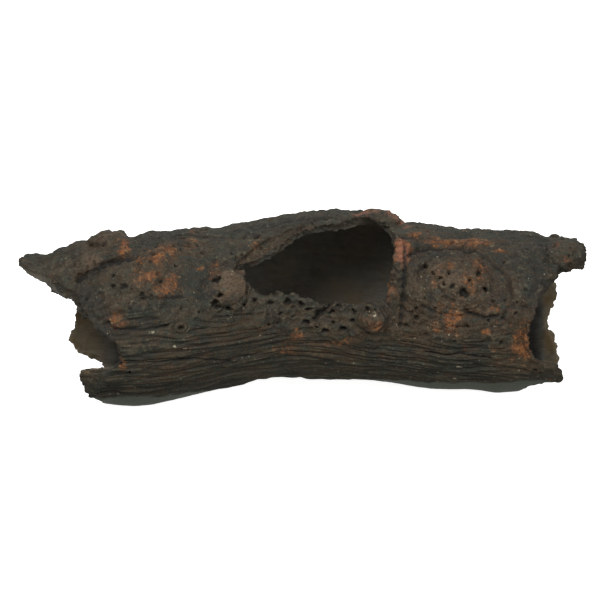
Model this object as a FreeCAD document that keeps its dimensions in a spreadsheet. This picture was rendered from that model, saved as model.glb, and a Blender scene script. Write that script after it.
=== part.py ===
import FreeCAD, Part
import os

# Hollow log cave ornament, cast in stone-filled polyresin and painted.
# Units are millimetres. +X runs along the log to its stub end, -Y is the window side, +Z is up.
# The origin is on the ground under the middle of the ornament's box.
#
# The log is a bent tube with a bark skin outside and a smooth cave inside. It is cast in pieces that
# are bonded together: a base pan, a rear panel, a front shell with the window in it, the projecting
# bits (spur, lip, stub and bark curl), and four knots that sit in dished seats in the bark.

V = FreeCAD.Vector
doc = FreeCAD.newDocument("hollow_log")

# ---------------------------------------------------------------- driving dimensions

# Cross-sections of the bark along the log: place along X, centre across, centre height, half depth,
# half height.
STATIONS = {
    "tip": (-150, -5.5, 34.3, 44, 36.3),
    "spur": (-133, -7.5, 37, 46, 39),
    "left_mouth": (-107, -9.5, 41.5, 47, 43.5),
    "left_lobe": (-80, -10.5, 43.8, 47, 45.8),
    "left_neck": (-54, -4.5, 44.8, 47, 44),
    "elbow": (-27, 6, 44.5, 46.5, 41.2),
    "waist": (-8, 10, 46.8, 46.5, 42),
    "ridge": (15, 10, 48.2, 47, 44.7),
    "shoulder": (37, 10.5, 46.6, 47, 44.2),
    "right_neck": (58, 10.5, 43.6, 47, 43),
    "right_lobe": (82, 9.5, 40.8, 47, 42.4),
    "right_mouth": (108, 8.5, 39.6, 47, 41.7),
    "stub": (150, 8, 37, 46, 38.5),
}
STATION_SIZES = ("place", "across", "rise", "depth", "height")

# Sections of the curl of bark over the window's rear corner, in the same order.
CURL = {
    "curl_start": (27, 13, 90, 3, 1.5),
    "curl_swell": (35, 15.5, 89.5, 7, 3.5),
    "curl_crest": (46, 17, 88.8, 8.5, 4.2),
    "curl_end": (57, 16.5, 84.5, 3, 1.5),
}

# Knots: place along X, centre across, centre height, lean of the outward normal from straight up,
# half length along the log, half width around it.
KNOTS = {
    "crest_knot": (-99, -4, 85.5, -4, 14, 11),
    "window_boss": (-39, -34.5, 69, 52, 11, 10.5),
    "lower_knot": (38, -35.5, 53.5, 81, 8.5, 8),
    "whorl_knot": (80, -22.5, 69, 48, 21, 14),
}
KNOT_SIZES = ("place", "across", "rise", "lean", "length", "width")

SIZES = {
    "wall": 6,  # thickness of the bark wall
    "base_seam": 14,  # height of the seam above the base pan
    "register_lip": 4,  # how far each seam's inner lip stands past it
    "rim_split": 16,  # depth where the front rims change to the rear rims
    "window_tilt": 50,  # the window looks out this far above level
    "window_axis_rise": 45,  # height of the line that the window tilts about
    "knot_bulge": 3.9,  # half thickness of a knot
    "spur_joint": -112,  # where the spur meets the front shell
    "lip_joint": -106,  # where the lower left lip meets the front shell
    "lip_top": 33,  # height of the lip's joint with the wall above it
    "stub_joint": 131,  # where the stub meets the front shell
    "crown": 50,  # above this height an end is trimmed in plan
    "knob_place": 137,  # centre of the rounded knob that ends the stub
    "knob_across": -4,
    "knob_rise": 75.5,
    "knob_length": 13,  # half sizes of the knob
    "knob_width": 15,
    "knob_height": 8.5,
}

# Broken edges, as corner points. The rims are seen from the front, the crown trims from above.
FRONT_RIM = [
    (-151, 112), (-151, 66), (-138, 62), (-120, 61), (-111, 58), (-105, 52), (-97, 48), (-94, 39),
    (-97, 33), (-109, 30), (-117, 29.5), (-117.5, 24), (-113.5, 18), (-112, 13), (-106, 6), (-103, -6),
    (113, -6), (120, 6), (127, 10), (134, 14), (139, 17), (139, 20), (133, 27), (124.5, 29.5),
    (122, 33.5), (119.5, 40), (120, 47), (122, 53), (125, 60), (127, 64), (151, 64), (151, 112),
]
REAR_RIM = [
    (-151, 112), (-151, 66), (-144, 59), (-138, 52), (-135, 46.5), (-132, 41.5), (-127, 38),
    (-122, 34.5), (-120, 31), (-121.5, 21), (-124, 15.5), (-120, 11), (-115, 9.5), (-109, 6.5), (-105, -6),
    (139, -6), (138, 4), (134, 11), (132, 16), (135, 24), (138, 32), (134, 42), (136, 52), (151, 60),
    (151, 112),
]
CROWN_TRIMS = {
    "spur_front_trim": [
        (-160, -2), (-150, -2), (-141, -15), (-133, -21), (-129, -29), (-124, -36), (-117, -42),
        (-112, -50), (-112, -80), (-160, -80),
    ],
    "spur_rear_trim": [(-160, 5), (-150, 5), (-145, 15), (-138, 24), (-133, 33), (-130, 80), (-160, 80)],
    "stub_front_trim": [
        (160, -6), (149, -9), (144, -15), (136, -18), (130, -26), (126, -32), (126, -80), (160, -80),
    ],
    "stub_rear_trim": [(160, 4), (149, 5), (145, 14), (138, 20), (134, 28), (134, 80), (160, 80)],
}
# The seam in front of the rear panel, seen from above; it follows the log's bend.
REAR_SEAM = [
    (-170, 15), (-107, 13), (-75, 13), (-54, 19), (-27, 28), (-8, 31.5), (37, 34), (110, 32), (170, 32),
    (170, 120), (-170, 120),
]
# The window's edge, in the plane that faces along the window's tilt: along the log, and up that plane
# from the line that it tilts about.
WINDOW_EDGE = [
    (-33, 1), (-29, -6), (-22, -11.5), (-8, -11), (5, -14.5), (18, -16.5), (34, -16), (43, -13),
    (47, -4), (49, 7), (50, 18), (48, 30), (44, 38), (37, 40.5), (29, 36), (19, 28.5), (3, 28),
    (-5, 23), (-13, 14), (-23, 8),
]


def make_sheet():
    """The spreadsheet that holds every driving dimension under its own alias."""
    cells = dict(SIZES)
    for table, names in ((STATIONS, STATION_SIZES), (CURL, STATION_SIZES), (KNOTS, KNOT_SIZES)):
        for owner, numbers in table.items():
            cells.update({f"{owner}_{name}": number for name, number in zip(names, numbers)})
    sheet = doc.addObject("Spreadsheet::Sheet", "dims")
    for row, (alias, number) in enumerate(cells.items(), start=1):
        sheet.set(f"A{row}", alias)
        sheet.set(f"B{row}", str(number))
        sheet.setAlias(f"B{row}", alias)
    doc.recompute()
    return sheet


def bind(feature, **sizes):
    """Drives the feature's properties from the sheet; double underscores in a name stand for dots."""
    for path, expression in sizes.items():
        feature.setExpression(path.replace("__", "."), expression)
    return feature


# ---------------------------------------------------------------- features that the pieces are made from

ACROSS_THE_LOG = FreeCAD.Rotation(V(1, 1, 1), 120)  # turns a flat ellipse to stand across X, long axis in Y


def ellipse_loft(name, sections, inset="0"):
    """A solid through ellipses that stand across the log, each drawn in by inset."""
    rings = []
    for owner in sections:
        ring = doc.addObject("Part::Ellipse", f"{name}_{owner}")
        ring.Placement = FreeCAD.Placement(V(), ACROSS_THE_LOG)
        bind(
            ring,
            MajorRadius=f"dims.{owner}_depth - {inset}",
            MinorRadius=f"dims.{owner}_height - {inset}",
            Placement__Base__x=f"dims.{owner}_place",
            Placement__Base__y=f"dims.{owner}_across",
            Placement__Base__z=f"dims.{owner}_rise",
        )
        rings.append(ring)
    loft = doc.addObject("Part::Loft", name)
    loft.Sections = rings
    loft.Solid = True
    return loft


def origin_plane(body, role):
    return next(plane for plane in body.Origin.OriginFeatures if plane.Role == role)


def profile_body(name, role, wire_edges, length, offset="0", reverse=False):
    """A body whose one pad takes a closed outline from a plane that stands off an origin plane."""
    body = doc.addObject("PartDesign::Body", name)
    sketch = body.newObject("Sketcher::SketchObject", f"{name}_outline")
    sketch.AttachmentSupport = (origin_plane(body, role), [""])
    sketch.MapMode = "FlatFace"
    bind(sketch, AttachmentOffset__Base__z=offset)
    sketch.addGeometry(wire_edges, False)
    pad = body.newObject("PartDesign::Pad", f"{name}_pad")
    pad.Profile = sketch
    pad.Length = length
    pad.Reversed = reverse
    return body


def polygon(points):
    corners = [V(x, y, 0) for x, y in points]
    return [Part.LineSegment(a, b) for a, b in zip(corners, corners[1:] + corners[:1])]


def smooth_loop(points):
    curve = Part.BSplineCurve()
    curve.interpolate([V(x, y, 0) for x, y in points], PeriodicFlag=True)
    return [curve]


def half_space(name, **corner):
    """A big box whose one corner is bound to a seam, so that its near faces are the seam's planes."""
    box = doc.addObject("Part::Box", name)
    box.Length, box.Width, box.Height = 400, 300, 300
    box.Placement.Base = V(-200, -150, -150)
    return bind(box, **{f"Placement__Base__{axis}": expression for axis, expression in corner.items()})


def below(name, height):
    return boolean("Cut", name, half_space(f"{name}_all"), half_space(f"{name}_rest", z=height))


def boolean(kind, name, base, tool):
    made = doc.addObject(f"Part::{kind}", name)
    made.Base, made.Tool = base, tool
    made.Refine = False
    return made


def union(name, shapes):
    made = doc.addObject("Part::MultiFuse", name)
    made.Shapes = shapes
    made.Refine = False
    return made


def seam_zone(name, beyond, lip_beyond, register):
    """Everything past a seam, with the inner half of the wall carried a lip's length further."""
    lip = boolean("Common", f"{name}_lip", lip_beyond, register)
    return boolean("Fuse", name, beyond, lip)


def broken_wall(bark, cave):
    """The tube's wall with its ragged ends, its ground underside and its window."""
    reach = 120
    tube = boolean("Cut", "tube", bark, cave)
    on_ground = boolean("Common", "tube_on_ground", tube, half_space("above_ground", z="0"))
    front = profile_body("front_rim", "XZ_Plane", polygon(FRONT_RIM), reach, "-dims.rim_split")
    rear = profile_body("rear_rim", "XZ_Plane", polygon(REAR_RIM), reach, "-dims.rim_split", True)
    ended = boolean("Common", "tube_with_rims", on_ground, boolean("Fuse", "rims", front, rear))
    trims = [
        profile_body(name, "XY_Plane", polygon(points), reach, "dims.crown")
        for name, points in CROWN_TRIMS.items()
    ]
    window = profile_body("window_cutter", "XZ_Plane", smooth_loop(WINDOW_EDGE), reach)
    window.Placement.Rotation = FreeCAD.Rotation(V(1, 0, 0), -1)
    bind(window, Placement__Base__z="dims.window_axis_rise", Placement__Rotation__Angle="-dims.window_tilt")
    return boolean("Cut", "wall_with_window", ended, union("trims", [*trims, window]))


def knot(name):
    """A lens-shaped knot, standing half out of the bark, with its short axis along the bark's normal."""
    lens = doc.addObject("Part::Ellipsoid", name)
    lens.Angle1, lens.Angle2, lens.Angle3 = -90, 90, 360
    lens.Placement.Rotation = FreeCAD.Rotation(V(1, 0, 0), 1)
    return bind(
        lens,
        Radius1="dims.knot_bulge",
        Radius2=f"dims.{name}_length",
        Radius3=f"dims.{name}_width",
        Placement__Base__x=f"dims.{name}_place",
        Placement__Base__y=f"dims.{name}_across",
        Placement__Base__z=f"dims.{name}_rise",
        Placement__Rotation__Angle=f"dims.{name}_lean",
    )


def stub_knob():
    """The rounded end of the broken branch at the log's upper right."""
    knob = doc.addObject("Part::Ellipsoid", "stub_knob")
    knob.Angle1, knob.Angle2, knob.Angle3 = -90, 90, 360
    return bind(
        knob,
        Radius1="dims.knob_height",
        Radius2="dims.knob_length",
        Radius3="dims.knob_width",
        Placement__Base__x="dims.knob_place",
        Placement__Base__y="dims.knob_across",
        Placement__Base__z="dims.knob_rise",
    )


# ---------------------------------------------------------------- the pieces


def make_pieces():
    """Every casting, under its node's name."""
    bark = ellipse_loft("bark", STATIONS)
    register = ellipse_loft("register", STATIONS, "dims.wall / 2")
    cave = ellipse_loft("cave", STATIONS, "dims.wall")
    wall = broken_wall(bark, cave)

    lenses = {name: knot(name) for name in KNOTS}
    seated = boolean("Cut", "wall_with_seats", wall, union("knot_seats", list(lenses.values())))

    # Base pan, then rear panel, each with the lip that registers it inside its neighbours.
    below_seam = below("below_seam", "dims.base_seam")
    below_lip = below("below_lip", "dims.base_seam + dims.register_lip")
    base_zone = seam_zone("base_zone", below_seam, below_lip, register)
    behind_seam = profile_body("behind_seam", "XY_Plane", polygon(REAR_SEAM), 150, "-25")
    behind_lip = profile_body("behind_lip", "XY_Plane", polygon(REAR_SEAM), 150, "-25")
    bind(behind_lip, Placement__Base__y="-dims.register_lip")
    rear_zone = seam_zone("rear_zone", behind_seam, behind_lip, register)
    upper = boolean("Cut", "upper_wall", seated, base_zone)

    # The projecting bits are parted from the walls by flat joints.
    right_of_spur = half_space("right_of_spur", x="dims.spur_joint")
    past_spur = boolean("Cut", "past_spur_joint", half_space("crown_zone", z="dims.crown"), right_of_spur)
    right_of_lip = half_space("right_of_lip", x="dims.lip_joint")
    past_lip = boolean("Cut", "past_lip_joint", below("below_lip_top", "dims.lip_top"), right_of_lip)
    past_stub = half_space("past_stub_joint", x="dims.stub_joint", z="dims.crown")
    ends = union("end_zone", [past_spur, past_stub])
    walls = boolean("Cut", "walls_between_ends", upper, ends)
    front = boolean("Cut", "front_wall", walls, rear_zone)
    knob = boolean("Cut", "knob_outside_cave", boolean("Common", "knob_end", stub_knob(), past_stub), cave)
    curl = ellipse_loft("curl_strip", CURL)

    return {
        "base_pan": boolean("Common", "base_pan", seated, base_zone),
        "rear_bark_panel": boolean("Common", "rear_bark_panel", walls, rear_zone),
        "front_bark_shell": boolean("Cut", "front_bark_shell", front, past_lip),
        "left_spur": boolean("Common", "left_spur", upper, past_spur),
        "lower_left_lip": boolean("Common", "lower_left_lip", front, past_lip),
        "right_stub": boolean("Fuse", "right_stub", boolean("Common", "stub_wall", upper, past_stub), knob),
        "window_bark_curl": boolean("Cut", "window_bark_curl", curl, bark),
        **lenses,
    }


def check(pieces):
    failed = [f.Label for f in doc.Objects if {"Invalid", "Error"} & set(f.State)]
    if failed:
        raise RuntimeError(f"features failed: {failed}")
    for name, piece in pieces.items():
        if piece.Shape.isNull() or not piece.Shape.isValid() or piece.Shape.Volume <= 0:
            raise RuntimeError(f"{name} has no valid solid")
        if len(piece.Shape.Solids) != 1:
            raise RuntimeError(f"{name} is {len(piece.Shape.Solids)} separate solids")
        print(f"{name}: {piece.Shape.Volume / 1000:.1f} cm3")


make_sheet()
castings = make_pieces()
doc.recompute()
check(castings)
os.makedirs("parts", exist_ok=True)
for node, casting in castings.items():
    casting.Label = node
    casting.Shape.exportStep(f"parts/{node}.step")
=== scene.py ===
import itertools
import math

import bmesh
import bpy
import numpy as np
from mathutils import Matrix, Vector


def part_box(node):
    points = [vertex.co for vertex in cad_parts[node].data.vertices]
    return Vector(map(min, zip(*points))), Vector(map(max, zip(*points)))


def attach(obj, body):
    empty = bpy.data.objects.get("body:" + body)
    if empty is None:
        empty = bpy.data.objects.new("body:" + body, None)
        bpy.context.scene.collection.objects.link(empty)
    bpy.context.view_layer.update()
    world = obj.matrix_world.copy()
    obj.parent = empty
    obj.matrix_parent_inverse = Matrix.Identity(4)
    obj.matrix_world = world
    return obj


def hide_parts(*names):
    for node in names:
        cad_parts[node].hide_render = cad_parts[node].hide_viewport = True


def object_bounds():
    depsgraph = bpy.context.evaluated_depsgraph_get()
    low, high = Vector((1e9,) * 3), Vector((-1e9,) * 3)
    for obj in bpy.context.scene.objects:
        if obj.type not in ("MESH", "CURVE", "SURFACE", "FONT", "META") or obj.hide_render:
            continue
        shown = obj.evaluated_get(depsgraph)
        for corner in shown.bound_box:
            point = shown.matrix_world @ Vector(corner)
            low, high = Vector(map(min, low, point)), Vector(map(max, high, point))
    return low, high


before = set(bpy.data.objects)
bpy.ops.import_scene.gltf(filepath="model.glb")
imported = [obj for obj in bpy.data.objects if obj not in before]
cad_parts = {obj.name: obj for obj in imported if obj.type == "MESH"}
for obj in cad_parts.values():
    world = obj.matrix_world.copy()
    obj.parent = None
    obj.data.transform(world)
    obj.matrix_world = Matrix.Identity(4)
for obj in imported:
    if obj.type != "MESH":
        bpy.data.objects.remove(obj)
CAD_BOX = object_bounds()

bl_info = {
    "name": "Hollow Log Cave",
    "version": (1, 0),
    "blender": (4, 5, 0),
    "location": "View3D > Sidebar > Hollow Log",
    "description": "Carves and paints a broken hollow log around its plain castings",
    "category": "Object",
}

# Lengths on the log are worked out in millimetres, and meshes are in metres. +X runs along the log to its
# stub end, -Y is the window side, +Z is up. A turn is the angle round the log: 0 is level at the front,
# 90 is the crown, 180 is level at the back.
MM = 0.001
GIRTH = 45.5  # the bark's mean radius, which changes a turn into a distance round the log

# ---- the log's shape

# Sections of the bark: place along, centre across, centre height, half depth, half height.
SECTIONS = np.array([
    (-150, -5.5, 34.3, 44, 36.3),
    (-133, -7.5, 37, 46, 39),
    (-107, -9.5, 41.5, 47, 43.5),
    (-80, -10.5, 43.8, 47, 45.8),
    (-54, -4.5, 44.8, 47, 44),
    (-27, 6, 44.5, 46.5, 41.2),
    (-8, 10, 46.8, 46.5, 42),
    (15, 10, 48.2, 47, 44.7),
    (37, 10.5, 46.6, 47, 44.2),
    (58, 10.5, 43.6, 47, 43),
    (82, 9.5, 40.8, 47, 42.4),
    (108, 8.5, 39.6, 47, 41.7),
    (150, 8, 37, 46, 38.5),
])
WALL_MIDDLE = 0.935  # share of the bark's radius at which the wall's middle lies

# Where the grain parts and flows round something: place along, turn, half length, half width.
SWIRLS = {
    "window_boss": (-38, 36, 11.5, 11),
    "lower_knot": (37, 9, 8.5, 8),
    "whorl": (83, 39, 27, 21),
    "eye": (-63, 13, 5, 3.4),
}
# Rings inside a swirl: the swirl, their height.
RINGS = {"lower_knot": 0.22, "whorl": 0.1, "eye": 0.2}
# Swells and hollows: place along, turn, half length, half width, height in mm.
SWELLS = [
    (-103, 92, 5, 8, 0.8), (-96, 88, 4, 7, 0.5), (-99, 110, 14, 18, -1.3), (-113, 73, 9, 9, 1.6),
    (-116, 92, 6, 10, 0.8), (-89, 108, 4.5, 22, -3.4), (-84.5, 88, 3, 8, 0.8), (-68, 112, 26, 24, -2.5),
    (-88, -62, 17, 14, 1.5), (-59, 43, 13, 17, -2.2), (-71, 31, 20, 6, 1.3), (-88, 46, 14, 8, 1.8),
    (-74, 62, 8, 8, 1.0), (-38, 37, 9, 9, 1.6), (-37.5, 46, 8, 8, 1.2), (66, -64, 20, 14, 1.5),
    (-16, -66, 12, 12, -1.0), (-49.5, 33, 4, 11, -1.6), (37, 9, 8, 7.5, 1.8), (30, 15, 3, 8, -0.9),
    (83, 41, 17, 12, 1.4), (57.5, 34, 3, 22, 1.0), (61.5, 31, 3.5, 8, 1.0), (112, 41, 5, 18, 1.0),
    (0, 12, 9, 8, -1.2), (13, 9, 10, 9, -1.0), (24, 10, 7, 8, -0.8), (117.5, 3, 7, 15, -4.0),
    (107, 24, 6, 6, 1.4), (141, 66, 7, 14, 1.0), (133, 40, 5, 10, -1.0), (104, -62, 10, 18, 2.0),
    (117, -50, 8, 14, -1.0), (-108, -18, 3, 4, -1.6), (-112, -22, 3, 3, 1.2), (-104, -22, 7, 8, 1.5),
    (-111, -34, 4, 5, 1.8), (-105, -44, 4, 5, 1.6), (-99, -32, 5, 5, -1.8), (53, 59, 4.5, 8, 1.6),
    (52, 112, 7, 20, -2.6), (16, 112, 15, 22, -2.0), (78, 112, 26, 22, -1.7), (135, 108, 9, 22, -3.0),
    (85, 77, 18, 4, 0.9), (28, 84, 14, 5, 0.8),
]
# Where the crest is lowered: place along, reach, drop in mm.
CREST_DROPS = [(-133, 12, 3.2), (-111, 5, 2.2), (-93, 7, -1.2), (18, 4, -1.8), (44, 7, 1.0), (133, 9, 1.8)]
# Round pits: place along, turn, radius, depth.
PITS = [
    (-97, 91, 1.4, 1.8), (-73, 78, 1.1, 1.6), (-63, 83, 1.6, 1.8), (-56, 93, 1.5, 1.6),
    (-66, 55, 1.3, 1.8), (-75, 49, 1.2, 1.6), (-98.5, 52, 1.2, 2.0), (-98.5, 45, 1.3, 2.0),
    (-93, 43, 2.0, 1.9), (-83.5, 36, 1.5, 2.0), (-44.2, 43, 2.5, 2.8), (-42.6, 32, 1.8, 3.0),
    (-45.2, 27, 2.2, 3.2), (-43.6, 24, 1.5, 2.6), (-38.4, 22, 2.2, 2.8), (-23, 78, 1.7, 2.0),
    (-36, 63, 1.6, 1.8), (-24.5, 26, 1.9, 2.0), (-16, 22, 1.8, 2.0), (-7, 20, 2.3, 2.4),
    (-11, 13, 1.5, 1.8), (3.2, 4, 2.2, 3.0), (9, 10, 1.8, 2.4), (12.8, -3, 1.9, 2.6),
    (22.3, -1, 2.6, 3.0), (16, 11, 1.6, 2.4), (27, 6, 1.8, 2.0), (4, 14, 1.5, 2.0), (35.6, 15, 1.8, 2.6),
    (86, 34, 3.4, 3.2), (97.4, 38, 1.8, 2.6), (93.6, 48, 1.8, 2.4), (73.4, 43, 1.7, 2.4),
    (77.7, 47, 1.3, 2.0), (70, 45, 1.3, 1.8), (75, 38, 1.2, 1.8), (99, 16, 1.3, 1.8), (-63, 13, 1.4, 1.8),
    (89.5, 43, 1.5, 2.0), (0, 18, 1.7, 1.8), (20, 15, 1.5, 1.8), (-4, 9, 1.4, 1.6), (8, 1, 1.4, 2.0),
    (17, 3, 1.5, 2.0), (-30, 24, 1.4, 1.6), (28, 12, 1.4, 1.8), (80, 38, 1.6, 2.0), (66, 50, 1.4, 1.6),
    (-104, 84, 1.5, 1.6), (-95.3, -9, 2.1, 3.2), (-107, -36, 1.5, 2.0), (-102, -27, 1.3, 1.8),
    (-90, -16, 1.2, 1.6), (-31, 62, 1.3, 1.6), (44, 24, 1.5, 2.0), (101, 30, 1.5, 1.8),
    (58, 16, 1.4, 1.6), (113, 22, 1.3, 1.6), (-117, 80, 1.3, 1.6), (-52, 66, 1.5, 1.8),
]
# Cracks and furrows: corner points as place along and turn, then half width and depth.
CRACKS = [
    ([(66, -12), (78, -12), (84, -10.5), (100, -13)], 0.6, 2.0),
    ([(54.8, 66), (54.8, 46), (53.6, 24), (52, 6)], 1.0, 1.6),
    ([(7, 6), (10, 9), (13.5, 14), (17, 19)], 1.1, 2.6),
    ([(-117, 58), (-112, 61), (-107, 63), (-100, 65.5), (-90, 66)], 1.7, 2.6),
    ([(-84, 34), (-72, 33), (-62, 33)], 0.8, 1.5),
    ([(-46, 17), (-32, 17), (-20, 15)], 0.6, 1.2),
    ([(-98, 16), (-84, 14), (-70, 15)], 0.7, 1.4),
    ([(-94, -8), (-76, -9), (-56, -11), (-38, -18)], 0.6, 1.4),
    ([(88, 21), (97, 18), (104, 20)], 0.8, 1.6),
    ([(57, 56), (61, 63), (68, 67.5), (80, 69), (91, 68)], 1.3, 2.0),
    ([(90, 70), (100.5, 60), (109.6, 47), (111, 32), (106, 18)], 1.0, 1.3),
    ([(88, 62), (96, 56), (101, 46), (101, 34), (96, 24)], 0.8, 1.0),
    ([(62, 44), (67, 54), (76, 60), (86, 60)], 0.9, 1.0),
    ([(64, 22), (72, 18), (84, 18), (92, 22)], 0.8, 1.1),
    ([(46, 73), (52, 73), (61, 74)], 1.2, 1.6),
    ([(49, 46), (51.5, 43), (54, 45)], 0.6, 1.2),
    ([(49, 40), (51.5, 37), (54, 39)], 0.6, 1.2),
    ([(48, 34), (51, 32), (54, 34)], 0.6, 1.0),
    ([(-17.6, 17), (-17, 6)], 0.6, 0.8),
    ([(-11.5, 16), (-11, 4)], 0.6, 0.8),
    ([(-14.5, 15), (-14, 3)], 0.5, 0.6),
    ([(122, 60), (125, 52), (124, 44), (121, 36)], 1.4, 0.9),
    ([(8, 86), (20, 82), (34, 82)], 1.0, 1.6),
    ([(-70, 70), (-62, 74), (-52, 73)], 0.8, 1.0),
    ([(-66, 86), (-58, 88), (-50, 84)], 0.8, 1.0),
]
# The lower edge of the rough bark, above the grooved wood: place along and turn.
BARK_EDGE = [
    (-114, -80), (-105, -45), (-97, 16), (-80, 26), (-46, 17), (-20, 2), (-6, -8), (26, -12), (55, -2),
    (74, 4), (106, -2), (120, -22), (132, -60),
]
# The ragged lower edge of the bark and the wood, above the smooth underside: place along and height.
HEM = [(-115, 12), (-104, 12), (-90, 12.5), (-60, 11), (-40, 7.5), (0, 5), (50, 11), (100, 12.5), (125, 17)]
# Patches of rust paint: place along, turn, half length, half width, strength.
RUST_PATCHES = [
    (-93, 75, 3.2, 7, 1.0), (-74, 63, 8, 7, 0.95), (-69, 69, 4, 4, 0.9), (-80, 48, 9, 6, 0.95),
    (-71, 41, 8, 6, 1.0), (-87, 52, 4, 5, 0.6), (-85, 62, 5, 4, 0.6), (-51.6, 95, 2.5, 2.5, 1.3),
    (-53, 53, 2.2, 1.6, 1.2), (-44.7, 54, 5.5, 3.5, 0.7), (-97.4, 23, 4.5, 2.6, 0.9),
    (-93, 19, 3.5, 2.4, 0.8), (-94, -8, 2.2, 6, 0.95), (-58, 73, 5, 3, 0.75), (-57, 81, 3, 3, 0.75),
    (-32, 98, 5, 2, 0.7), (-2.7, -6, 3.5, 5, 0.8), (53.6, 60, 4.8, 9, 1.6), (60, 79, 4, 4, 0.8),
    (75, 75, 12, 4, 1.0), (89, 77, 11, 4.5, 0.95), (95, 82, 7, 3, 0.6), (105.9, 69, 5, 1.8, 0.9),
    (79.3, 51, 3, 4.5, 0.95), (70, 42, 7, 6, 0.6), (90, 40, 6, 7, 0.65), (72, 8, 9, 6, 0.55),
    (94.2, 48, 5, 8, 0.8), (80, 15, 6, 8, 0.95), (76, 22, 5, 5, 0.5), (97.9, 8, 3, 1.8, 1.3),
    (111, 14, 1.6, 3, 1.1), (117, 3, 7, 14, 0.9), (28.7, -8, 7, 4, 0.6), (15.4, -12, 9, 3, 0.65),
    (41, 5, 5, 4, 0.8), (36, 12, 6, 4, 0.5), (102, -4, 3, 3, 0.6), (-97, 84, 3, 3, 0.5),
    (46, 30, 2.5, 12, 0.6), (-118, 60, 4, 3, 0.5), (-141, 62, 5, 3, 0.55), (127, -20, 5, 3, 0.5),
    (64, 62, 5, 3, 0.4), (-24, 71, 3, 4, 0.7), (-115, -36, 3, 11, 0.7), (-46, 50, 4, 5, 0.6),
    (12, -22, 12, 5, 0.4), (-8, -16, 7, 7, 0.5), (104, -14, 10, 5, 0.45), (96, 24, 12, 8, 0.45),
]
# Patches of brown wash, in the same order.
UMBER_PATCHES = [
    (-38, 37, 10, 10, 1.1), (-106, 84, 16, 14, 0.75), (-112, 70, 10, 8, 0.9), (-100, 55, 12, 9, 0.7),
    (-100, 30, 9, 9, 0.6), (-78, 55, 16, 16, 0.75), (-57, 78, 10, 10, 0.6), (-30, 5, 16, 7, 0.55),
    (-60, -10, 30, 8, 0.5), (0, -10, 16, 8, 0.6), (38, 8, 11, 11, 0.95), (60, 10, 14, 18, 0.95),
    (66, -3, 14, 7, 0.8), (84, 42, 30, 20, 0.95), (88, 14, 18, 11, 1.0), (112, -8, 9, 10, 0.7),
    (86, 76, 24, 6, 0.9), (48, 40, 5, 24, 0.9), (140, 70, 9, 12, 0.3), (128, 20, 9, 25, 0.5),
    (-140, 60, 14, 14, 0.5), (12, 2, 20, 12, 0.6), (-24, 68, 10, 8, 0.7), (118, 2, 8, 18, 1.0),
    (-125, 30, 12, 20, 0.5), (20, -16, 26, 7, 0.45), (-90, 8, 14, 8, 0.5), (-12, 12, 9, 6, 0.5),
]
# Patches of tan paint, in the same order.
TAN_PATCHES = [
    (-38, 38, 9, 8, 1.1), (-112, 71, 8, 7, 0.7), (-101, 93, 7, 6, 0.6), (53, 57, 4, 9, 0.6),
    (62, 30, 3, 7, 0.6), (84, 40, 18, 12, 0.7), (-57, 78, 8, 6, 0.6), (39, 9, 6, 6, 0.6),
    (-22, 66, 9, 4, 0.5), (88, 77, 16, 4, 0.6), (-76, 55, 10, 12, 0.4), (134, 74, 7, 8, 0.4),
    (14, 5, 16, 9, 0.35), (-126, 72, 10, 8, 0.6), (-90, -25, 8, 6, 0.4),
]
# Dark washes, some of them painted shade where the bark turns away from the light, in the same order.
SHADE_PATCHES = [
    (-114, 38, 7, 14, 0.8), (-104, 22, 5, 8, 0.5), (-72, 84, 14, 5, 0.4), (-4, 88, 24, 5, 0.8),
    (118, 66, 16, 12, 0.5), (128, 34, 7, 22, 0.7), (62, 54, 4, 12, 0.6), (-48, 42, 3, 9, 0.6),
    (24, 20, 10, 6, 0.4), (72, 62, 12, 4, 0.5), (104, 44, 8, 14, 0.4), (-134, 48, 8, 8, 0.6),
    (-102, -34, 9, 8, 0.5), (44, 18, 3, 6, 0.6),
]
# Bare cream flecks, in the same order.
FLECKS = [
    (-77.7, 12, 2.6, 0.6, 0.7), (-66, 1, 1.1, 0.8, 0.9), (-21.3, -1, 0.8, 0.6, 0.8),
    (-72.4, 19, 0.8, 0.5, 0.7), (-61.2, -2, 1.2, 0.5, 0.6), (84, -22.5, 4.0, 0.6, 0.7),
    (100.5, -20.5, 1.2, 0.6, 0.8), (81.4, -36, 0.9, 0.6, 0.9), (78.2, 4, 0.8, 0.6, 0.7),
    (-36.7, 18, 1.3, 0.7, 0.7), (-29.3, 21, 2.2, 0.6, 0.7), (88.3, 30, 2.0, 0.6, 0.6),
    (38.8, 13, 0.9, 2.4, 0.6), (71.8, 59, 0.9, 0.6, 0.6), (-98, -38, 4, 0.5, 0.6),
]
# Lines along the window's upper rim and the curl's edge, through corner points: place along and turn.
WINDOW_RIM = [(-31, 49), (-27, 57), (-21.5, 65), (-14, 71), (-5, 75), (3, 77)]
CURL_EDGE = [(31, 95), (38, 99), (47, 99), (54, 94)]

# ---- fields on points


def ease(low, high, value):
    """0 below low, 1 above high, and a smooth step between them."""
    t = np.clip((value - low) / (high - low), 0, 1)
    return t * t * (3 - 2 * t)


SHUFFLE = np.random.default_rng(19).permutation(4096)
DIRECTIONS = np.random.default_rng(23).normal(size=(4096, 3)).astype(np.float32)
DIRECTIONS /= np.linalg.norm(DIRECTIONS, axis=1)[:, None]


def scramble(cells, seed):
    """A number below 4096 for each lattice cell, which looks random and is the same each run."""
    mixed = SHUFFLE[(cells[:, 0] + 131 * seed) & 4095]
    mixed = SHUFFLE[(mixed + cells[:, 1]) & 4095]
    return SHUFFLE[(mixed + cells[:, 2]) & 4095]


def lattice(points, scale):
    """The cell that holds each point, and the place inside it."""
    points = (points / np.asarray(scale, float)).astype(np.float32)
    cell = np.floor(points).astype(np.int32)
    return cell, points - cell


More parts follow.
